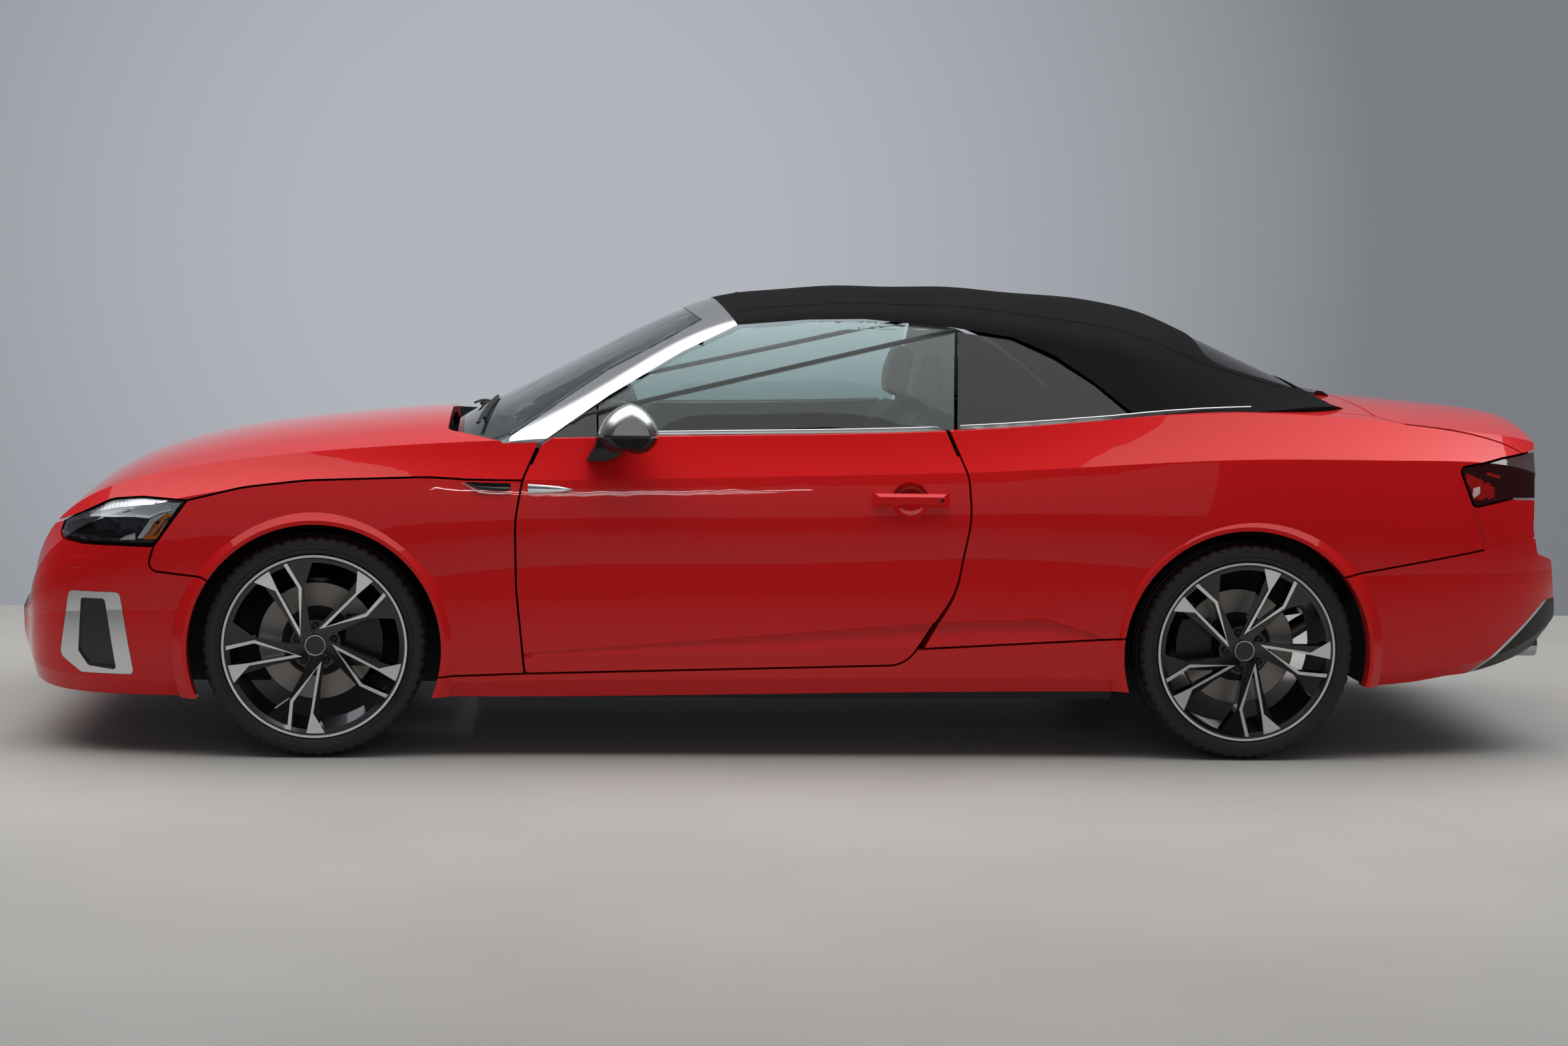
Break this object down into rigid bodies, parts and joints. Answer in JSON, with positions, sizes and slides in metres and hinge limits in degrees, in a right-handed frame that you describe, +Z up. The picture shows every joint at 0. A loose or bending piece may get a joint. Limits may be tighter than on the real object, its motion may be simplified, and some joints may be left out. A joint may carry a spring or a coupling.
{
  "type": "convertible car",
  "caption": "Two-door, four-place convertible car with the soft top raised; wheels roll and steer, doors, bonnet and boot lid open.",
  "frame": {"origin": "on the ground, under the centre of the bounding box", "axes": "+X forward, +Y to the car's left, +Z up"},
  "size_m": [4.712, 2.02, 1.3931],
  "materials": {
    "paint": "gloss",
    "black_plastic": "satin",
    "silver_trim": "satin",
    "clear_lamp": "gloss",
    "red_lamp": "gloss",
    "window_glass": "gloss",
    "soft_top_fabric": "matt",
    "seat_leather": "satin",
    "body_shell": "matt",
    "cast_metal": "cast",
    "exhaust_steel": "satin",
    "wheel_black": "gloss",
    "tyre": "matt",
    "brake_iron": "machined"
  },
  "bodies": {
    "body": {"underbody": "body_shell", "boot_tub": "body_shell", "deck_cover": "paint", "front_wings": "paint", "side_sills": "paint", "rear_quarters": "paint", "tail_lamps": "red_lamp", "rear_bumper": "paint", "diffuser": "black_plastic", "front_bumper": "paint", "grille": "black_plastic", "intake_trims": "silver_trim", "headlamps": "clear_lamp", "headlamp_units": "black_plastic", "windscreen_frame": "silver_trim", "windscreen": "window_glass", "quarter_windows": "window_glass", "soft_top": "soft_top_fabric", "rear_window": "window_glass", "front_seats": "seat_leather", "rear_seat": "seat_leather", "dashboard": "black_plastic", "steering_wheel": "black_plastic", "engine_block": "cast_metal", "exhaust": "exhaust_steel", "front_subframe": "cast_metal", "front_upper_arms": "cast_metal", "rear_subframe": "cast_metal"},
    "bonnet": {"bonnet": "paint"},
    "boot_lid": {"boot_lid": "paint", "boot_lid_lamps": "red_lamp"},
    "left_door": {"door_left": "paint", "door_glass_left": "window_glass", "mirror_left": "silver_trim"},
    "right_door": {"door_right": "paint", "door_glass_right": "window_glass", "mirror_right": "silver_trim"},
    "left_upright": {"upright_left": "cast_metal"},
    "right_upright": {"upright_right": "cast_metal"},
    "front_left_wheel": {"wheel_front_left": "wheel_black", "tyre_front_left": "tyre", "brake_disc_front_left": "brake_iron"},
    "front_right_wheel": {"wheel_front_right": "wheel_black", "tyre_front_right": "tyre", "brake_disc_front_right": "brake_iron"},
    "rear_left_wheel": {"wheel_rear_left": "wheel_black", "tyre_rear_left": "tyre", "brake_disc_rear_left": "brake_iron"},
    "rear_right_wheel": {"wheel_rear_right": "wheel_black", "tyre_rear_right": "tyre", "brake_disc_rear_right": "brake_iron"}
  },
  "joints": [
    {"name": "bonnet_hinge", "type": "hinge", "parent": "body", "child": "bonnet", "pos_m": [0.8, 0, 0.935], "axis": [0, -1, 0], "range_deg": [0, 50]},
    {"name": "boot_lid_hinge", "type": "hinge", "parent": "body", "child": "boot_lid", "pos_m": [-1.742, 0, 1.062], "axis": [0, 1, 0], "range_deg": [0, 75]},
    {"name": "left_door_hinge", "type": "hinge", "parent": "body", "child": "left_door", "pos_m": [0.811, 0.893, 0.6], "axis": [0, 0, -1], "range_deg": [0, 65]},
    {"name": "right_door_hinge", "type": "hinge", "parent": "body", "child": "right_door", "pos_m": [0.811, -0.893, 0.6], "axis": [0, 0, 1], "range_deg": [0, 65]},
    {"name": "left_steering", "type": "hinge", "parent": "body", "child": "left_upright", "pos_m": [1.4565, 0.712, 0.327], "axis": [0, 0, 1], "range_deg": [-32, 32]},
    {"name": "right_steering", "type": "hinge", "parent": "body", "child": "right_upright", "pos_m": [1.4565, -0.712, 0.327], "axis": [0, 0, 1], "range_deg": [-32, 32]},
    {"name": "front_left_wheel_spin", "type": "hinge", "parent": "left_upright", "child": "front_left_wheel", "pos_m": [1.4565, 0.788, 0.327], "axis": [0, 1, 0], "continuous": true},
    {"name": "front_right_wheel_spin", "type": "hinge", "parent": "right_upright", "child": "front_right_wheel", "pos_m": [1.4565, -0.788, 0.327], "axis": [0, 1, 0], "continuous": true},
    {"name": "rear_left_wheel_spin", "type": "hinge", "parent": "body", "child": "rear_left_wheel", "pos_m": [-1.3085, 0.788, 0.327], "axis": [0, 1, 0], "continuous": true},
    {"name": "rear_right_wheel_spin", "type": "hinge", "parent": "body", "child": "rear_right_wheel", "pos_m": [-1.3085, -0.788, 0.327], "axis": [0, 1, 0], "continuous": true}
  ],
  "couplings": [
    {"joint": "right_steering", "follows": "left_steering", "ratio": 1}
  ]
}
